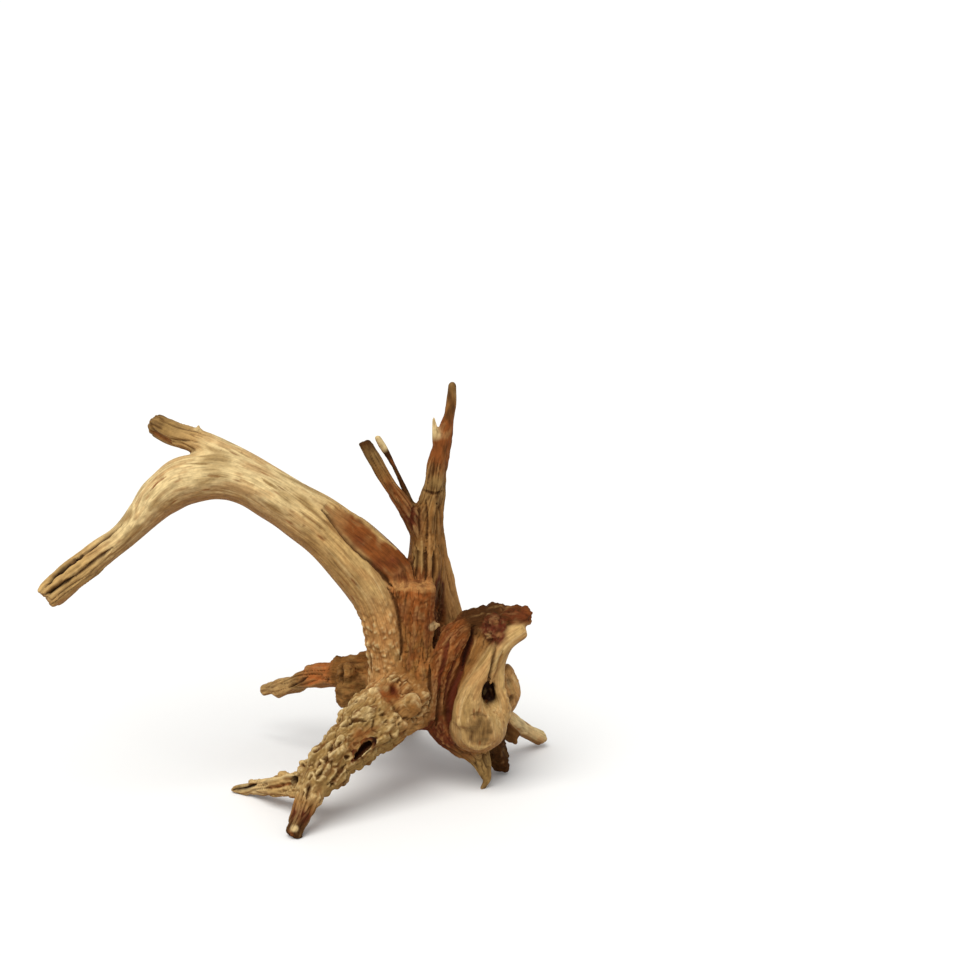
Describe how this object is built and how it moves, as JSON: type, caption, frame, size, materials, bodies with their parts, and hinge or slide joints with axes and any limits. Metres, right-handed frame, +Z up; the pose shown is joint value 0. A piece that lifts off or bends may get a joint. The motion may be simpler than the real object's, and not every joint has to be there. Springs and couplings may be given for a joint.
{
  "type": "aquarium driftwood",
  "caption": "Branching root driftwood with a great arching limb, forked uprights, a burl with a hollow and splayed feet that it stands on.",
  "frame": {"origin": "middle of the footprint of the whole piece, on the surface that it stands on", "axes": "+X from the tip of the arching limb towards the burl and the right root, +Y towards the back, +Z up"},
  "size_m": [0.2557, 0.1622, 0.2066],
  "materials": {
    "pale_wood": "pale tan weathered wood, smooth and silky, with grey and brown streaks along the grain",
    "bark_wood": "reddish-brown wood with flakes of old bark and worn pale ridges",
    "grey_wood": "grey-brown fluted wood, dry and matt",
    "dark_wood": "dark brown weathered wood, matt",
    "pitted_wood": "tan knobbly wood with dark pits and worn pale ridges"
  },
  "bodies": {
    "root": {"crown": "bark_wood", "arch_limb": "pale_wood", "arch_stub": "pale_wood", "upright_prong": "grey_wood", "left_prong": "grey_wood", "thin_twig": "dark_wood", "front_leg": "pitted_wood", "front_toe": "pitted_wood", "left_toe": "pitted_wood", "left_root": "bark_wood", "right_burl": "pale_wood", "burl_spike": "dark_wood", "burl_stub": "dark_wood", "right_root": "pale_wood", "rear_root": "bark_wood"}
  },
  "joints": []
}
